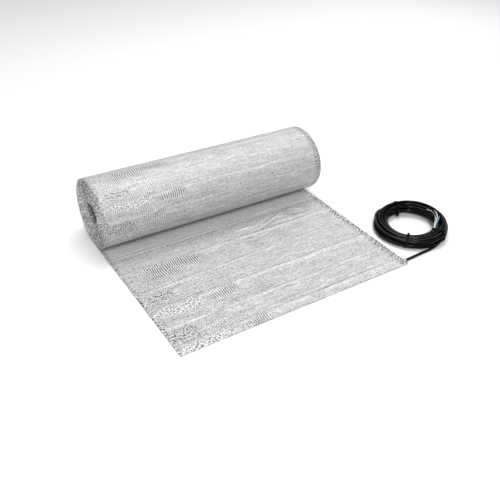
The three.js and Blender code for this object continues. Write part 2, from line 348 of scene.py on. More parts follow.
def rounded_box(size, sharpness=0.28, count=20):
    """A box with soft edges about the origin: a sphere's two angles with every sine and cosine raised to a
    small power, which swells the ball out to a block."""
    def swell(value):
        return np.sign(value) * np.abs(value) ** sharpness

    up = np.linspace(-np.pi / 2, np.pi / 2, count)[:, None]
    turn = np.linspace(0, 2 * np.pi, 2 * count, endpoint=False)[None, :]
    x = swell(np.cos(up)) * swell(np.cos(turn))
    y = swell(np.cos(up)) * swell(np.sin(turn))
    z = swell(np.sin(up)) * np.ones_like(turn)
    return np.stack([x, y, z], axis=-1) * size / 2


def join_grids(grids):
    """Several closed grids as one list of points, quads and caps."""
    points, faces, caps, start = [], [], [], 0
    for grid in grids:
        rows, columns = grid.shape[:2]
        quads = grid_faces(rows, columns, wrap=True)
        ends = tube_caps(rows, columns)
        flat = grid.reshape(-1, 3)
        if signed_volume(flat - flat.mean(axis=0), quads) < 0:
            quads, ends = quads[:, ::-1], [end[::-1] for end in ends]
        points.append(flat)
        faces.append(quads + start)
        caps += [end + start for end in ends]
        start += len(flat)
    return np.concatenate(points), np.concatenate(faces), caps


def make_tie(name, angle_degrees, head_degrees):
    """A rectangle with cut corners carried round the hull of the strands, plus the head and tail blocks."""
    angle, head_angle = np.radians(angle_degrees), np.radians(head_degrees)
    strands = strands_at(angle)
    line = hull_line(strands, TIE_GAP + TIE_THICKNESS / 2, 120)
    ahead = np.roll(line, -1, axis=0) - np.roll(line, 1, axis=0)
    ahead /= np.linalg.norm(ahead, axis=1)[:, None]
    out = np.stack([ahead[:, 1], -ahead[:, 0]], axis=-1)
    half, corner = TIE_WIDTH / 2, TIE_CORNER
    profile = np.array([
        [0.5, half - corner], [0.5 - corner, half], [corner - 0.5, half], [-0.5, half - corner],
        [-0.5, corner - half], [corner - 0.5, -half], [0.5 - corner, -half], [0.5, corner - half],
    ])
    section = line[:, None] + out[:, None] * profile[None, :, :1] * TIE_THICKNESS
    along = np.repeat(profile[None, :, 1], len(line), axis=0)

    way = np.array([np.cos(head_angle), np.sin(head_angle)])
    seat = strands[np.argmax(strands @ way)] + (LEAD_RADIUS + TIE_GAP) * way
    across = np.array([-way[1], way[0]])

    def placed(section_xy, lengthwise):
        """A point of the tie's own section and its distance along the coil, in space."""
        point = from_bundle(np.full(section_xy.shape[:-1], angle), section_xy[..., 0], section_xy[..., 1])
        return point + lengthwise[..., None] * np.array([-np.sin(angle), np.cos(angle), 0])

    def block(size, rise):
        box = rounded_box(size)
        flat = seat + (box[..., :1] + rise) * way + box[..., 1:2] * across
        return placed(flat, box[..., 2])

    head = block(TIE_HEAD, TIE_HEAD[0] / 2)
    rib = block(TIE_RIB, TIE_HEAD[0])
    tail = block(TIE_TAIL, TIE_HEAD[0] + TIE_TAIL[0] / 2 - TIE_TAIL_SUNK)
    points, faces, caps = join_grids([head, rib, tail])
    band = placed(section, along).reshape(-1, 3)
    band_faces = grid_faces(len(line) + 1, len(profile), wrap=True) % len(band)
    if signed_volume(band - band.mean(axis=0), band_faces) < 0:
        band_faces = band_faces[:, ::-1]
    piece = new_piece(name + "_strap", np.concatenate([band, points]),
                      np.concatenate([band_faces, faces + len(band)]), [cap + len(band) for cap in caps])
    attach(piece, "root")
    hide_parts(name)
    return piece


tie_pieces = [make_tie(*tie) for tie in TIES]

# %% [markdown]
# At the free end the jacket is stripped and three cores come out: green and yellow, white, and blue.
# Each core is a soft plastic cover over a twist of tinned wire, and a stretch of the wire is bare.
# The covers start inside the jacket and then lie over the shoulder of the bundle.

# %% Stripped cores
CORE_DIAMETER = 2.1
CONDUCTOR_DIAMETER = 1.2
CORE_CLEARANCE = 0.5
CORE_OFFSET = 1.15
WIRE_OVERLAP = 1.5
CORE_ROUTES = {
    "earth": (50, [[297, 152], [309, 158], [320, 156], [331, 143], [343, 138], [355, 138], [369, 144]]),
    "white": (6, [[297, 141], [309, 146], [320, 138], [331, 126], [341, 120], [351, 117]]),
    "blue": (5, [[297, 130], [307, 134], [316, 128], [323, 118], [328, 111]]),
}

jacket_end = lead_line[-1]
jacket_ahead, jacket_side, jacket_up = (part[-1] for part in line_frame(lead_line))
core_pieces, conductor_pieces = [], []
for number, (name, (bare, route)) in enumerate(CORE_ROUTES.items()):
    round_angle, over_angle = np.radians(np.array(route, float)).T
    width, height = bundle_half(round_angle)
    rise = CORE_CLEARANCE + CORE_DIAMETER / 2
    across, up = (width + rise) * np.cos(over_angle), (height + rise) * np.sin(over_angle)
    on_top = from_bundle(round_angle, across, up)
    third = 2 * np.pi * number / len(CORE_ROUTES) + np.pi / 6
    seat = jacket_end + CORE_OFFSET * (np.cos(third) * jacket_side + np.sin(third) * jacket_up)
    line = smooth_line(np.concatenate([[seat - 4 * jacket_ahead], [seat + jacket_ahead], on_top[1:]]), 10)
    whole = line_lengths(line)[-1]
    covered = cut_line(line, 0, whole - bare, 1.0)
    bared = cut_line(line, whole - bare - WIRE_OVERLAP, whole, 0.5)
    cover = tube("core_" + name + "_cover", covered, CORE_DIAMETER / 2, SIDES)
    wire = tube("wire_" + name, bared, CONDUCTOR_DIAMETER / 2, 2 * SIDES,
                lobes=7, lobe_depth=0.22, twist_length=9)
    for piece, kind in ((cover, "core_"), (wire, "conductor_")):
        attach(piece, "root")
        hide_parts(kind + name)
    core_pieces.append(cover)
    conductor_pieces.append(wire)

# %% [markdown]
# The mat's outside is a thin foil, creased by rolling and unrolling.
# Its marks repeat about every 100 mm, with the runs of heating wire under it.
# Both are functions over the sheet, a relief and some masks, which the flat stretch and the roll both read.
# An image could hold them too, but functions stay sharp at any size and fit both stretches.
# Real creases come from many small folds, so most of them are noise that is folded into sharp crests.


# %% Noise
def lattice_noise(u, v, seed):
    """Smooth noise from 0 to 1: a made-up value at each whole (u, v), blended in between by smoothstep."""
    def value_at(i, j):
        wave = np.sin(i * 127.1 + j * 311.7 + seed * 74.7) * 43758.5453
        return wave - np.floor(wave)

    i, j = np.floor(u), np.floor(v)
    a, b = u - i, v - j
    a, b = a * a * (3 - 2 * a), b * b * (3 - 2 * b)
    low = value_at(i, j) * (1 - a) + value_at(i + 1, j) * a
    high = value_at(i, j + 1) * (1 - a) + value_at(i + 1, j + 1) * a
    return low * (1 - b) + high * b


def crests(u, v, seed):
    """Sharp creases where noise crosses its middle value: 1 on the crease, falling off to both sides."""
    return (1 - np.abs(2 * lattice_noise(u, v, seed) - 1)) ** 4


def bell(distance, width):
    """A round bump: the exponential of minus the squared distance in widths."""
    return np.exp(-((distance / width) ** 2))


def window(value, low, high, soft):
    """1 between two limits and 0 outside, with soft shoulders."""
    return 1 / (1 + np.exp(-(value - low) / soft)) / (1 + np.exp((value - high) / soft))


# %% [markdown]
# The relief has these parts, all functions of x across the mat and v along it.
# A fold line is a slow rise and a quick drop, a wire line is a low round ridge.
# Crumpled patches, short cross ribs and the crimped edges have masks, so that the finish can use them too.

# %% Relief of the foil
HALF_MAT = 250.0
MOTIF_LENGTH = 300.0
FOLD_LINES = (21.0, 123.0, 240.0)
WIRE_LINES = (66.0, 170.0, 275.0)


def line_sway(x, seed):
    """How far a line strays from straight, in millimetres: a slow noise along x plus a quicker one."""
    slow, quick = lattice_noise(x / 90, seed + 0.5, seed), lattice_noise(x / 31, seed, seed)
    return 2.2 * (slow - 0.5) + 1.2 * (quick - 0.5)


def wire_stray(x, number):
    """How far a run of wire lies further back at this x than at the left edge."""
    return line_sway(x, number + 21) + 14 * (number > 0) * (x + HALF_MAT) / 500


def painted_fold_light_and_scratches(x, w):
    """The tone of the lines over the motif. A bright band in front of each fold and a thin dark line behind
    it are painted light and painted shadow, as a lamp in front would show the fold. A thin bright line on
    each wire with a dark one behind is a painted highlight and painted shadow too. The fine scratches of
    both kinds are random tone."""
    tone = np.zeros_like(x + w)
    right_side = window(x, -70, 235, 18)
    for number, fold in enumerate(FOLD_LINES):
        past = w - fold - line_sway(x, number + 11)
        # Painted highlight on the rise in front of the fold, then painted shadow in a thin dark line just
        # behind it.
        tone += (0.06 + 0.24 * right_side) * window(past, -9, -1.5, 1.2)
        tone -= (0.25 + 0.35 * right_side) * bell(past - 0.8, 1.1)
    for number, wire in enumerate(WIRE_LINES):
        past = w - wire - wire_stray(x, number)
        broken = 0.4 + 0.9 * lattice_noise(x / 13, number + 0.5, 9)
        # Painted highlight on the wire's ridge and painted shadow just behind it.
        tone += 0.62 * broken * bell(past, 1.2) - 0.28 * broken * bell(past - 2.6, 1.2)
    tone += 0.22 * crests(x / 95 + w / 900, w / 8.3, 71) ** 3 * (lattice_noise(x / 60, w / 9, 72) > 0.45)
    tone -= 0.26 * crests(x / 80 - w / 800, w / 7.1, 73) ** 3 * (lattice_noise(x / 50, w / 8, 74) > 0.5)
    tone += 0.30 * crests(x / 30, w / 4.1, 75) ** 2 - 0.22 * crests(x / 26, w / 3.7, 76) ** 2
    return tone


def foil_masks(x, v):
    """Where the foil is crumpled, ribbed, crimped or dark: soft boxes over the motif and the edges. The line
    entry holds the painted light and painted shadow of the folds and wires, with random scratches.
    """
    w = np.mod(v, MOTIF_LENGTH)
    crumple = np.zeros_like(x + v)
    ribs = np.zeros_like(crumple)
    dark = np.zeros_like(crumple)
    for fold in FOLD_LINES[:2]:
        crumple += window(x, -238, -150, 6) * window(w, fold - 28, fold - 8, 2)
        ribs += window(x, -108, -78, 2) * window(w, fold - 24, fold - 6, 2)
        ribs += 0.5 * window(x, -130, -110, 4) * window(w, fold - 34, fold - 14, 2)
        dark += window(x, -245, -190, 7) * window(w, fold + 8, fold + 36, 4)
    ribs += window(x, -195, -92, 5) * window(w, FOLD_LINES[2] - 24, FOLD_LINES[2] - 5, 2)
    ribs += 0.9 * window(x, -222, -150, 5) * window(w, FOLD_LINES[2] - 42, FOLD_LINES[2] - 31, 2)
    ribs += 0.10 * window(x, -245, -95, 14) + 0.05 * window(x, -100, 80, 25)
    speck = lattice_noise(x / 14, v / 9, 3)
    ribs *= 0.35 + 1.0 * speck
    edge_right = window(x, 236, 260, 2.0)
    edge_left = 0.55 * window(x, -260, -243, 2.0)
    crimp = np.clip((edge_right + edge_left) * (0.6 + 0.8 * lattice_noise(x / 8, v / 14, 5)), 0, 1)
    return {"crumple": np.clip(crumple, 0, 1), "ribs": np.clip(ribs, 0, 1), "crimp": crimp,
            "dark": np.clip(dark, 0, 1), "line": painted_fold_light_and_scratches(x, w)}


def foil_relief(x, v, masks):
    """Height in millimetres: fold lines, wire ridges, long creases of three sizes, crumples and crimps."""
    w = np.mod(v, MOTIF_LENGTH)
    height = np.zeros_like(x + v)
    for number, fold in enumerate(FOLD_LINES):
        past = w - fold - line_sway(x, number + 11)
        rise = np.clip(1 + past / 26, 0, 1) ** 2 * (past < 0)
        drop = np.exp(-np.maximum(past, 0) / 1.1) * (past >= 0)
        height += (0.35 + 0.3 * window(x, -60, 240, 20)) * (rise + drop)
    for number, wire in enumerate(WIRE_LINES):
        past = w - wire - wire_stray(x, number)
        height += (0.35 + 0.35 * lattice_noise(x / 25, number + 0.5, 8)) * bell(past, 2.6)
    height += 0.12 * crests(x / 120 + v / 900, v / 11, 31)
    height += 0.07 * crests(x / 70 - v / 700, v / 6.2, 32)
    height += 0.07 * crests(x / 34, v / 3.9, 33)
    height += 0.15 * (lattice_noise(x / 140, v / 34, 34) - 0.5)
    height += masks["crumple"] * 0.75 * (crests(x / 9, v / 5, 41) - 0.5 * crests(x / 5, v / 4, 42))
    height += masks["crimp"] * 0.55 * (lattice_noise(x / 2.6, v / 2.4, 43) - 0.5)
    height += masks["crimp"] * 0.5 * (crests(x / 6, v / 4.5, 44) - 0.3)
    return height


# %% [markdown]
# The sheet is 2.2 mm thick, so each stretch of it is a closed slab: a finely creased face and a plain back.
# Its edges are rounded by letting the face sink towards the back over the last 0.7 mm.
# The flat stretch and the outer turn are two pieces that meet under the roll, where nobody sees the joint.

# %% Sizes of the mat
FLAT_LENGTH = 363.2
SHEET = 2.2
TURN_GAP = 1.9
TURN_COUNT = 12
BORE_WIDTH, BORE_HEIGHT = 56.8, 43.0
PITCH = SHEET + TURN_GAP
ROLL_HALF_WIDTH = BORE_WIDTH / 2 + TURN_COUNT * PITCH
ROLL_HALF_HEIGHT = BORE_HEIGHT / 2 + TURN_COUNT * PITCH
FRONT_Y = -(FLAT_LENGTH + ROLL_HALF_WIDTH - PITCH / 4) / 2
ROLL_Y = FRONT_Y + FLAT_LENGTH
EDGE_ROUND = 0.7
EDGE_BAND = 13
COLUMN_STEP = 3.0
BACK_COLUMNS = np.linspace(-HALF_MAT, HALF_MAT, 24)


def on_roll(angle, inset):
    """A point of the wound sheet, y and z: an oval spiral that shrinks by a pitch in each turn, from the
    line where the roll touches the floor, round by the back."""
    shrink = PITCH * angle / (2 * np.pi) + inset
    y = ROLL_Y + (ROLL_HALF_WIDTH - shrink) * np.sin(angle)
    z = ROLL_HALF_HEIGHT - (ROLL_HALF_HEIGHT - shrink) * np.cos(angle)
    return np.stack([y, z], axis=-1)


def across_mat(step):
    """Places across the mat: fine steps in both edge bands and wider ones between."""
    inner = HALF_MAT - EDGE_BAND
    edge = np.concatenate([[0, 0.15, 0.4, 0.8], np.arange(1.6, EDGE_BAND, 0.9)])
    middle = np.linspace(-inner, inner, int(np.ceil(2 * inner / step)) + 1)
    return np.concatenate([-HALF_MAT + edge, middle, (HALF_MAT - edge)[::-1]])


def rounded_off(to_edge):
    """How far the face sinks at this distance from an edge: a quarter circle over the last stretch."""
    short_of = EDGE_ROUND - np.clip(to_edge, 0, EDGE_ROUND)
    return EDGE_ROUND - np.sqrt(EDGE_ROUND**2 - short_of**2)


def edge_sink(x):
    """How far the face sinks at the mat's left and right edges."""
    return rounded_off(HALF_MAT - np.abs(x))


def slab(name, face, back, uv, values):
    """A closed slab: at each station the face's points from left to right and the back's from right to
    left make one loop, and the loops are joined along the sheet."""
    rows = face.shape[0]
    x_back = BACK_COLUMNS[::-1]
    back_points = np.empty((rows, len(x_back), 3))
    back_points[..., 0] = x_back
    back_points[..., 1:] = back[:, None]
    points = np.concatenate([face, back_points], axis=1)
    columns = points.shape[1]
    back_uv = np.stack(np.broadcast_arrays(x_back / 1000, uv[:, :1, 1]), axis=-1)
    all_uv = np.concatenate([uv, back_uv], axis=1)
    none = np.zeros((rows, len(x_back)))
    all_values = {key: np.concatenate([value, none], axis=1) for key, value in values.items()}
    faces, caps = grid_faces(rows, columns, wrap=True), tube_caps(rows, columns)
    return new_piece(name, points, faces, caps, all_uv, all_values)


# %% [markdown]
# The flat stretch lies on the floor. Its face also carries the low pocket over the joint with the lead.
# Near the roll, where the sheet has just been bent straight, a fan of longer creases runs to the right.
# Those few creases are listed one by one, each a straight line with a height and a width.

# %% Flat stretch
SMOOTH_FROM = 246
BEND_AT = 291
POCKET_AT = 10.0
POCKET_LENGTH, POCKET_WIDTH, POCKET_HEIGHT = 26.0, 12.0, LEAD_DIAMETER + 0.5
FAN_CREASES = [
    (62, 246, 172, 290, 0.9, 2.2), (66, 243, 120, 262, -0.8, 2.0), (75, 255, 150, 284, -0.7, 2.4),
    (58, 258, 110, 280, 0.7, 2.6), (110, 262, 205, 256, -0.9, 2.6), (100, 268, 160, 258, 0.8, 3.0),
    (80, 300, 140, 302, 1.0, 3.0), (10, 262, 58, 262, 0.9, 3.2), (160, 283, 190, 268, 0.9, 2.0),
    (135, 276, 178, 292, -0.8, 2.2), (190, 300, 236, 288, 0.8, 2.6), (95, 246, 205, 250, 0.6, 2.2),
    (-225, 300, -130, 305, 0.6, 1.8), (-215, 282, -80, 278, 0.5, 1.6), (-150, 262, -90, 267, 0.5, 1.6),
    (-30, 308, -5, 296, 0.8, 2.4), (-15, 292, 30, 278, -0.4, 3.0), (30, 250, 62, 262, 0.6, 2.0),
]


def crease(x, v, x0, v0, x1, v1, height, width):
    """A straight ridge from one point to another: a bell across it and tapered ends along it."""
    length = np.hypot(x1 - x0, v1 - v0)
    along = ((x - x0) * (x1 - x0) + (v - v0) * (v1 - v0)) / length**2
    across = ((x - x0) * (v1 - v0) - (v - v0) * (x1 - x0)) / length
    taper = np.clip(4 * along * (1 - along), 0, 1) ** 0.5 * (np.abs(along - 0.5) < 0.5)
    return height * taper * bell(across, width)


def make_flat():
    """The flat stretch: z is the sheet's thickness plus the relief, or the pocket where that is higher."""
    s = np.concatenate([[0, 0.15, 0.4, 0.8], np.linspace(1.6, FLAT_LENGTH, 322)])
    x = across_mat(COLUMN_STEP)
    columns, v = np.meshgrid(x, s)
    masks = foil_masks(columns, v)
    smooth_band = window(v, SMOOTH_FROM, 400, 4)
    masks = {key: value * (1 - (key != "crimp") * smooth_band) for key, value in masks.items()}
    relief = foil_relief(columns, v, masks)
    smoothed = 0.25 * relief + 0.25
    relief = relief * (1 - smooth_band) + smoothed * smooth_band
    for line in FAN_CREASES:
        ridge = crease(columns, v, *line)
        relief += ridge
        # Painted light: each raised crease is painted lighter, and each sunk one darker as painted shadow.
        masks["line"] += 0.9 * ridge * np.abs(ridge)
    past_bend = v - BEND_AT - line_sway(columns, 51)
    bent = window(columns, -240, 60, 4)
    relief += 1.1 * bell(past_bend, 2.2) * bent
    # Painted highlight just in front of the bend and painted shadow just behind it.
    masks["line"] += bent * (0.7 * bell(past_bend + 0.6, 1.1) - 0.9 * bell(past_bend - 1.6, 1.3))
    calm = np.clip(v / 6, 0.15, 1)
    z = SHEET + relief * calm - edge_sink(columns) - rounded_off(v)
    inside = 1 - ((HALF_MAT - columns) / POCKET_LENGTH) ** 2 - ((v - POCKET_AT) / (POCKET_WIDTH / 2)) ** 2
    pocket = POCKET_HEIGHT * np.sqrt(np.clip(inside, 0, 1)) + 0.3 * relief
    z = np.maximum(z, np.where(inside > 0, pocket, 0))
    face = np.stack([columns, FRONT_Y + v, np.maximum(z, 0.6)], axis=-1)
    back = np.stack([FRONT_Y + s, np.zeros_like(s)], axis=-1)
    uv = np.stack([columns, v], axis=-1) / 1000
    # Painted light: the band behind the bend, under the roll, where the roll casts its shadow, is lifted to
    # a lighter tone.
    masks["painted_fill_light"] = window(v, BEND_AT, 500, 1.2) * window(columns, -246, 300, 3)
    return slab("mat_flat", face, back, uv, masks)


flat = make_flat()

# %% [markdown]
# The outer turn shows the sheet's other face, with the same marks closer together.
# It runs all the way round the roll, from the floor line to where it dives under itself.

# %% Outer turn
ROLL_MARKS_AT = 719.5
ROLL_MARKS_SQUEEZE = 1.6
ROLL_MARKS_LINE = 21.0
# Painted light: how much lighter the whole outer turn is painted, as if more light fell on the roll.
ROLL_PAINTED_LIGHT = 0.08


def roll_stations(first, last, step):
    """Stations on the spiral at even steps of its own length: the angle, the length so far, the points of
    both faces, and the outward normal, which is the direction turned by a right angle."""
    angle = np.linspace(first, last, 8000)
    along = line_lengths(on_roll(angle, 0))
    wanted = np.linspace(0, along[-1], int(along[-1] / step) + 1)
    angle = np.interp(wanted, along, angle)
    outer, inner = on_roll(angle, 0), on_roll(angle, SHEET)
    ahead = np.gradient(outer, axis=0)
    ahead /= np.linalg.norm(ahead, axis=1)[:, None]
    return angle, wanted, outer, inner, np.stack([ahead[:, 1], -ahead[:, 0]], axis=-1)


def make_outer_turn():
    """The outer turn: the spiral's outer face moved out along its normal by the relief."""
    angle, along, outer, inner, normal = roll_stations(0, 2 * np.pi, 1.1)
    x = across_mat(COLUMN_STEP)
    v = ROLL_MARKS_LINE + (ROLL_MARKS_AT - FLAT_LENGTH - along) * ROLL_MARKS_SQUEEZE
    columns, rows = np.meshgrid(x, v)
    masks = foil_masks(columns, rows)
    relief = foil_relief(columns, rows, masks)
    near_floor = np.clip(along / 25, 0, 1)[:, None] * np.clip((along[-1] - along) / 12, 0, 1)[:, None]
    rise = (relief - 0.2) * near_floor - edge_sink(columns)
    face = np.empty((*columns.shape, 3))
    face[..., 0] = columns
    face[..., 1:] = outer[:, None] + rise[..., None] * normal[:, None]
    face[..., 2] = np.maximum(face[..., 2], 0)
    uv = np.stack([columns, rows], axis=-1) / 1000
    # Painted light over the whole outer turn.
    masks["painted_fill_light"] = np.full_like(columns, ROLL_PAINTED_LIGHT)
    return slab("mat_outer_turn", face, inner, uv, masks)


outer_turn = make_outer_turn()

# %% [markdown]
# Only the ends of the eleven inner turns and the hollow in the middle can be seen.
# So the inner turns get their points near the ends, and hardly any in between.
# A roll is never wound quite true: the turns wander in and out by a millimetre, and their rims are crushed.


# %% Inner turns
def make_inner_turns():
    """The spiral from the second turn to the hollow. Each rim strays along X by noise over the angle, and
    both faces of the sheet stray together along the radius near the rims."""
    angle, along, outer, inner, normal = roll_stations(2 * np.pi, 2 * np.pi * TURN_COUNT, 3.0)
    from_end = np.array([0, 0.25, 0.8, 1.8, 3.2, 5, 8, 13, 22, 45, 110])
    share = np.concatenate([from_end, (500 - from_end)[::-1]])
    rim = np.stack([lattice_noise(along / 21, 0.5, 61), lattice_noise(along / 21, 0.5, 62)], axis=-1)
    start_calm = np.clip((angle - 2 * np.pi) / 0.5, 0, 1)[:, None]
    rim = 2.6 * start_calm * (rim - 0.15)
    reach = np.maximum(rim, 0)
    left = np.exp(-share / 12)[None, :] * reach[:, :1]
    right = np.exp(-(500 - share) / 12)[None, :] * reach[:, 1:]
    x = -HALF_MAT + share[None, :] + left - right
    near_rim = np.exp(-np.minimum(share, 500 - share) / 7)[None, :]
    stray = near_rim * 1.5 * (lattice_noise(along[:, None] / 7, share[None, :] / 5, 63) - 0.5)
    stray += near_rim * 0.8 * (crests(along[:, None] / 5, share[None, :] / 4, 64) - 0.3)
    stray *= start_calm
    sink = edge_sink(-HALF_MAT + np.minimum(share, 500 - share))[None, :]
    outside = outer[:, None] + (stray - sink)[..., None] * normal[:, None]
    inside = inner[:, None] + (stray + sink)[..., None] * normal[:, None]
    face = np.concatenate([x[..., None], outside], axis=-1)
    back = np.concatenate([x[..., None], inside], axis=-1)[:, ::-1]
    points = np.concatenate([face, back], axis=1)
    rows, columns = points.shape[:2]
    uv = np.stack(np.broadcast_arrays(points[..., 0], along[:, None]), axis=-1) / 1000
    zero = np.zeros((rows, columns))
    # Painted shadow: the inside of the last turn, away from its rims, is darkened where the hollow lies in
    # shadow.
    last_turn = (angle > 2 * np.pi * (TURN_COUNT - 1))[:, None]
    painted_bore_shadow = zero - 0.9 * last_turn * (1 - np.concatenate([near_rim, near_rim], axis=1))
    # Painted light: all inner turns are lifted by the fill mask, and the line entry carries the painted
    # shadow of the hollow.
    values = {"crumple": zero, "ribs": zero, "dark": zero, "painted_fill_light": zero + 0.45, "line": painted_bore_shadow,
              "crimp": 0.75 * np.concatenate([near_rim, near_rim], axis=1) + zero}
    return new_piece("mat_inner_turns", points, grid_faces(rows, columns, wrap=True),
                     tube_caps(rows, columns), uv, values)


inner_turns = make_inner_turns()
for piece in (flat, outer_turn, inner_turns):
    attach(piece, "root")
    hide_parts("foil_mat")


# %% [markdown]
# Finishes are built from small effects that several materials share, each in its own node group.
# A helper adds a node and wires its inputs in one line, so that each material reads like a recipe.


# %% Node helpers
def add_node(tree, kind, inputs=None, **settings):
    """A new node with its settings, and each input either linked, if it is a socket, or set to a value."""
    node = tree.nodes.new(kind)
    for key, value in settings.items():
        setattr(node, key, value)
    for key, value in (inputs or {}).items():
        if isinstance(value, bpy.types.NodeSocket):
            tree.links.new(value, node.inputs[key])
        else:
            node.inputs[key].default_value = value
    return node


def math_node(tree, operation, first, second=0.0, third=0.0, clamp=False):
    """The result socket of one sum."""
    inputs = {0: first, 1: second, 2: third}
    return add_node(tree, "ShaderNodeMath", inputs, operation=operation, use_clamp=clamp).outputs[0]


def weighted_sum(tree, start, terms):
    """The result socket of a start value plus each socket times its weight."""
    total = start
    for socket, weight in terms:
        total = math_node(tree, "MULTIPLY_ADD", socket, weight, total)
    return total


def mix_colours(tree, factor, first, second):
    """The result socket of a blend between two colours."""
    node = add_node(tree, "ShaderNodeMix", data_type="RGBA")
    for socket, value in ((node.inputs[0], factor), (node.inputs[6], first), (node.inputs[7], second)):
        if isinstance(value, bpy.types.NodeSocket):
            tree.links.new(value, socket)
        else:
            socket.default_value = value
    return node.outputs[2]


def new_group(name, inputs, outputs):
    """An empty shader node group: inputs and outputs are pairs of a name and a value, vector or colour."""
    kinds = {"value": "NodeSocketFloat", "vector": "NodeSocketVector", "colour": "NodeSocketColor"}
    group = bpy.data.node_groups.new(name, "ShaderNodeTree")
    for label, kind in inputs:
        group.interface.new_socket(label, in_out="INPUT", socket_type=kinds[kind])
    for label, kind in outputs:
        group.interface.new_socket(label, in_out="OUTPUT", socket_type=kinds[kind])
    return group, group.nodes.new("NodeGroupInput"), group.nodes.new("NodeGroupOutput")


# %% [markdown]
# The first shared effect is a fine mottle: the uneven gloss of plastic or foil that hands have touched.
# It puts out one value about 0.5 that roughness and bump both read at their own strengths.

# %% Mottle group
mottle, mottle_in, mottle_out = new_group(
    "mottle", [("Vector", "vector"), ("Scale", "value"), ("Detail", "value")], [("Value", "value")])
mottle_noise = add_node(mottle, "ShaderNodeTexNoise", {
    "Vector": mottle_in.outputs["Vector"], "Scale": mottle_in.outputs["Scale"],
    "Detail": mottle_in.outputs["Detail"], "Roughness": 0.6})
mottle.links.new(mottle_noise.outputs["Fac"], mottle_out.inputs["Value"])

# %% [markdown]
# Long creases are noise stretched along X. Folding the noise about its middle turns its slopes into crests.

# %% Long crease group
long_crease, crease_in, crease_out = new_group(
    "long_crease",
    [("Vector", "vector"), ("Length", "value"), ("Spacing", "value"), ("Sharpness", "value")],
    [("Height", "value"), ("Tone", "value")])
crease_parts = add_node(long_crease, "ShaderNodeSeparateXYZ", {0: crease_in.outputs["Vector"]})
crease_u = math_node(long_crease, "DIVIDE", crease_parts.outputs[0], crease_in.outputs["Length"])
crease_v = math_node(long_crease, "DIVIDE", crease_parts.outputs[1], crease_in.outputs["Spacing"])
crease_vector = add_node(long_crease, "ShaderNodeCombineXYZ", {0: crease_u, 1: crease_v})
crease_noise = add_node(long_crease, "ShaderNodeTexNoise", {
    "Vector": crease_vector.outputs[0], "Scale": 1.0, "Detail": 3.0, "Roughness": 0.55})
crease_from_middle = math_node(long_crease, "ABSOLUTE", math_node(
    long_crease, "MULTIPLY_ADD", crease_noise.outputs["Fac"], 2.0, -1.0))
crease_crest = math_node(long_crease, "SUBTRACT", 1.0, crease_from_middle, clamp=True)
crease_sharp = math_node(long_crease, "POWER", crease_crest, crease_in.outputs["Sharpness"])
long_crease.links.new(crease_sharp, crease_out.inputs["Height"])
long_crease.links.new(crease_noise.outputs["Fac"], crease_out.inputs["Tone"])

# %% [markdown]
# Short cross ribs are pressed into the foil by the net under it. Their pitch measures about 3.8 mm in the
# photo and is drawn as 4.4 mm, so that the ribs still show at the picture's size.
# A sine along X makes the ribs, a slower one along the sheet cuts them into rows of dashes,
# and noise thins the dashes out, as the foil touches the net only here and there.

# %% Cross rib group
cross_ribs, ribs_in, ribs_out = new_group(
    "cross_ribs", [("Vector", "vector"), ("Pitch", "value"), ("Row", "value")], [("Rib", "value")])
ribs_parts = add_node(cross_ribs, "ShaderNodeSeparateXYZ", {0: ribs_in.outputs["Vector"]})
ribs_wobble = add_node(cross_ribs, "ShaderNodeTexNoise", {
    "Vector": ribs_in.outputs["Vector"], "Scale": 0.03, "Detail": 0.0})
ribs_turn = math_node(cross_ribs, "DIVIDE", ribs_parts.outputs[0], ribs_in.outputs["Pitch"])
ribs_turn = math_node(cross_ribs, "MULTIPLY_ADD", ribs_wobble.outputs["Fac"], 1.5, ribs_turn)
ribs_wave = math_node(cross_ribs, "SINE", math_node(cross_ribs, "MULTIPLY", ribs_turn, 6.28318))
ribs_row = math_node(cross_ribs, "DIVIDE", ribs_parts.outputs[1], ribs_in.outputs["Row"])
ribs_row = math_node(cross_ribs, "MULTIPLY_ADD", ribs_wobble.outputs["Fac"], 3.1, ribs_row)
ribs_rows = math_node(cross_ribs, "SINE", math_node(cross_ribs, "MULTIPLY", ribs_row, 6.28318))
ribs_rows = math_node(cross_ribs, "MULTIPLY_ADD", ribs_rows, 0.7, 0.70, clamp=True)
ribs_thin = add_node(cross_ribs, "ShaderNodeTexNoise", {
    "Vector": ribs_in.outputs["Vector"], "Scale": 0.19, "Detail": 1.0})
ribs_gate = math_node(cross_ribs, "MULTIPLY_ADD", ribs_thin.outputs["Fac"], 5.0, -1.7, clamp=True)
ribs_gate = math_node(cross_ribs, "MULTIPLY", ribs_gate, ribs_rows)
cross_ribs.links.new(math_node(cross_ribs, "MULTIPLY", ribs_wave, ribs_gate), ribs_out.inputs["Rib"])


# %% [markdown]
# The foil is aluminium behind a thin clear film: partly metal, with a soft gloss.
# Its masks were worked out with the relief and are stored in the mesh, one value for each point.
# They say how strongly each effect shows. One sum, the tone, gathers them: below 0 is dark, above 0 light.

# %% Foil material
# The tone runs from the dark to the bright colour. Both carry the foil's own marks and also painted light
# and painted shadow.
FOIL_PLAIN = (0.43, 0.43, 0.434, 1)
FOIL_BRIGHT = (0.82, 0.82, 0.82, 1)
FOIL_DARK = (0.03, 0.03, 0.031, 1)


def new_material(name):
    """An empty material with its tree and surface shader."""
    material = bpy.data.materials.new(name)
    material.use_nodes = True
    tree = material.node_tree
    return material, tree, tree.nodes["Principled BSDF"]


def group_node(tree, group, inputs):
    """A shared effect placed in a tree with its own values."""
    return add_node(tree, "ShaderNodeGroup", inputs, node_tree=group)


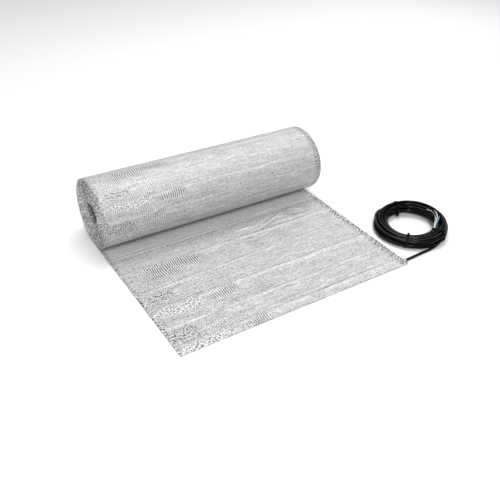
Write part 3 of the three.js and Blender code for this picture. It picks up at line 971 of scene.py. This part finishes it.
foil, tree, shader = new_material("foil")
foil_uv = add_node(tree, "ShaderNodeUVMap", uv_map="along").outputs[0]
foil_mm = add_node(
    tree, "ShaderNodeVectorMath", {0: foil_uv, 1: (1000, 1000, 1000)}, operation="MULTIPLY").outputs[0]
mask = {key: add_node(tree, "ShaderNodeAttribute", attribute_name=key).outputs["Fac"]
        for key in ("crumple", "ribs", "crimp", "dark", "painted_fill_light", "line")}
wide = group_node(tree, long_crease, {"Vector": foil_mm, "Length": 60.0, "Spacing": 4.2, "Sharpness": 30.0})
fine = group_node(tree, long_crease, {"Vector": foil_mm, "Length": 6.0, "Spacing": 1.7, "Sharpness": 5.0})
ribs = group_node(tree, cross_ribs, {"Vector": foil_mm, "Pitch": 4.4, "Row": 10.0})
grain = group_node(tree, mottle, {"Vector": foil_mm, "Scale": 0.5, "Detail": 1.5})
crumbs = group_node(tree, mottle, {"Vector": foil_mm, "Scale": 0.30, "Detail": 1.5})

rib_depth = math_node(tree, "MULTIPLY", ribs.outputs["Rib"], mask["ribs"])
crumb = math_node(tree, "MULTIPLY_ADD", crumbs.outputs["Value"], 6.0, -3.0)
worn = weighted_sum(tree, 0.0, [(mask["crimp"], 1.0), (mask["crumple"], 1.0), (mask["dark"], 0.6)])
crushed = math_node(tree, "MULTIPLY", crumb, worn)
height = weighted_sum(tree, 0.0, [
    (wide.outputs["Height"], 0.10), (fine.outputs["Height"], 0.12), (rib_depth, 0.45),
    (grain.outputs["Value"], 0.12), (crushed, 0.30)])
bump = add_node(tree, "ShaderNodeBump", {"Strength": 1.0, "Distance": 0.0009, "Height": height})

# %% Tone of the foil
# The noises are about 0.5, so the start takes half of their weights off and a little more for the crests.
WIDE_TONE, FINE_TONE, GRAIN_TONE = 0.2, 2.8, 2.4
TONE_START = -0.16 - (WIDE_TONE + FINE_TONE + GRAIN_TONE) / 2
# Painted light is part of this sum. Crease crests are painted lighter as highlights, and the fill mask lifts
# the shadowed band under the roll, the outer turn and the roll's end. The line mask holds painted highlights
# and painted shadow at the folds, wires, creases, the bend and the hollow.
tone = weighted_sum(tree, TONE_START, [
    (wide.outputs["Tone"], WIDE_TONE), (fine.outputs["Tone"], FINE_TONE),
    (grain.outputs["Value"], GRAIN_TONE), (wide.outputs["Height"], 0.60), (fine.outputs["Height"], 0.35),
    (rib_depth, 7.0), (mask["ribs"], -0.35), (crushed, 1.8), (mask["crumple"], 0.30),
    (mask["crimp"], -0.40), (mask["dark"], -0.25), (mask["painted_fill_light"], 0.75), (mask["line"], 1.0)])
lighten = math_node(tree, "MULTIPLY", tone, 1.0, clamp=True)
darken = math_node(tree, "MULTIPLY", tone, -1.0, clamp=True)
colour = mix_colours(tree, lighten, FOIL_PLAIN, FOIL_BRIGHT)
colour = mix_colours(tree, darken, colour, FOIL_DARK)
roughness = math_node(tree, "MULTIPLY_ADD", grain.outputs["Value"], 0.25, 0.33)
tree.links.new(colour, shader.inputs["Base Color"])
tree.links.new(roughness, shader.inputs["Roughness"])
tree.links.new(bump.outputs[0], shader.inputs["Normal"])
shader.inputs["Metallic"].default_value = 0.15
for piece in (flat, outer_turn, inner_turns):
    piece.data.materials.append(foil)


# %% [markdown]
# The plastics: a glossy black jacket, satin black nylon, and the cores' coloured covers.
# All share one recipe, a base colour with a slight mottle in its gloss and surface.

# %% Plastic materials
def plastic(name, colour, roughness, spread, bump_distance, scale=260.0, second=None, stripes=0.0):
    """A plastic: mottled gloss and bump, and if a second colour is given, stripes of it along the piece."""
    material, tree, shader = new_material(name)
    place = add_node(tree, "ShaderNodeTexCoord").outputs["Object"]
    spots = group_node(tree, mottle, {"Vector": place, "Scale": scale, "Detail": 3.0})
    gloss = math_node(tree, "MULTIPLY_ADD", spots.outputs["Value"], spread, roughness - spread / 2)
    bump = add_node(tree, "ShaderNodeBump", {
        "Strength": 0.6, "Distance": bump_distance, "Height": spots.outputs["Value"]})
    tree.links.new(gloss, shader.inputs["Roughness"])
    tree.links.new(bump.outputs[0], shader.inputs["Normal"])
    dusty = mix_colours(tree, math_node(tree, "MULTIPLY", spots.outputs["Value"], 0.12), (*colour, 1),
                        (*(min(1.0, 1.5 * part + 0.004) for part in colour), 1))
    if second:
        around = add_node(tree, "ShaderNodeSeparateXYZ", {0: add_node(
            tree, "ShaderNodeUVMap", uv_map="along").outputs[0]}).outputs[0]
        stripe = math_node(tree, "GREATER_THAN", around, stripes)
        dusty = mix_colours(tree, stripe, dusty, (*second, 1))
    tree.links.new(dusty, shader.inputs["Base Color"])
    return material


jacket = plastic("lead_jacket", (0.0008, 0.0008, 0.0009), 0.15, 0.05, 0.00002, 180.0)
nylon = plastic("tie_nylon", (0.0015, 0.0015, 0.0017), 0.30, 0.12, 0.0001)
for material in (jacket, nylon):
    material.node_tree.nodes["Principled BSDF"].inputs["Specular IOR Level"].default_value = 0.14
CORE_GLOSS = (0.35, 0.12, 0.00006)
STRIPE_FROM = 0.0021
YELLOW, GREEN = (0.50, 0.58, 0.08), (0.10, 0.34, 0.06)
core_finish = {
    "earth": plastic("core_earth", YELLOW, *CORE_GLOSS, second=GREEN, stripes=STRIPE_FROM),
    "white": plastic("core_white", (0.66, 0.72, 0.78), *CORE_GLOSS),
    "blue": plastic("core_blue", (0.24, 0.42, 0.66), *CORE_GLOSS),
}
wire_metal, tree, shader = new_material("conductor")
wire_spots = group_node(tree, mottle, {
    "Vector": add_node(tree, "ShaderNodeTexCoord").outputs["Object"], "Scale": 500.0, "Detail": 2.0})
wire_gloss = math_node(tree, "MULTIPLY_ADD", wire_spots.outputs["Value"], 0.3, 0.15)
wire_colour = mix_colours(tree, wire_spots.outputs["Value"], (0.60, 0.61, 0.62, 1), (0.92, 0.93, 0.94, 1))
tree.links.new(wire_gloss, shader.inputs["Roughness"])
tree.links.new(wire_colour, shader.inputs["Base Color"])
shader.inputs["Metallic"].default_value = 1.0

lead.data.materials.append(jacket)
for piece in tie_pieces:
    piece.data.materials.append(nylon)
for name, piece in zip(CORE_ROUTES, core_pieces):
    piece.data.materials.append(core_finish[name])
for piece in conductor_pieces:
    piece.data.materials.append(wire_metal)

# %% [markdown]
# The floor is plain and nearly white, and the light is soft, as in a product picture.
# A pale world gives the foil something even to reflect.
# A lamp at the front left, a wide one overhead and a weak one behind bring out the creases and the lead.

# %% Floor, world and lamps
FLOOR_HALF = 6.0
floor_mesh = bpy.data.meshes.new("floor")
floor_corners = [(FLOOR_HALF * x, FLOOR_HALF * y, 0) for x, y in ((-1, -1), (1, -1), (1, 1), (-1, 1))]
floor_mesh.from_pydata(floor_corners, [], [(0, 1, 2, 3)])
floor = bpy.data.objects.new("floor", floor_mesh)
floor.location.z = -0.0002
bpy.context.scene.collection.objects.link(floor)
floor_finish, tree, shader = new_material("floor")
shader.inputs["Base Color"].default_value = (0.93, 0.93, 0.93, 1)
shader.inputs["Roughness"].default_value = 0.9
floor_mesh.materials.append(floor_finish)

world = bpy.data.worlds.new("studio")
world.use_nodes = True
world.node_tree.nodes["Background"].inputs["Color"].default_value = (1, 1, 1, 1)
world.node_tree.nodes["Background"].inputs["Strength"].default_value = 0.42
bpy.context.scene.world = world
bpy.context.scene.view_settings.view_transform = "Standard"


def add_lamp(name, place, aim, size, power):
    """A square area lamp that looks at a point."""
    data = bpy.data.lights.new(name, "AREA")
    data.shape = "SQUARE"
    data.size = size
    data.energy = power
    lamp = bpy.data.objects.new(name, data)
    lamp.location = place
    way = np.array(aim, float) - np.array(place, float)
    from_z = np.arccos(-way[2] / np.linalg.norm(way))
    lamp.rotation_euler = (from_z, 0, np.arctan2(way[1], way[0]) - np.pi / 2)
    bpy.context.scene.collection.objects.link(lamp)
    return lamp


add_lamp("key_lamp", (-0.7, -1.75, 2.0), (0, 0, 0), 0.6, 32)
add_lamp("top_lamp", (0.25, 0.4, 2.3), (0.1, 0, 0), 1.2, 32)
add_lamp("back_lamp", (1.9, 1.2, 1.3), (0.2, 0, 0), 0.6, 8)
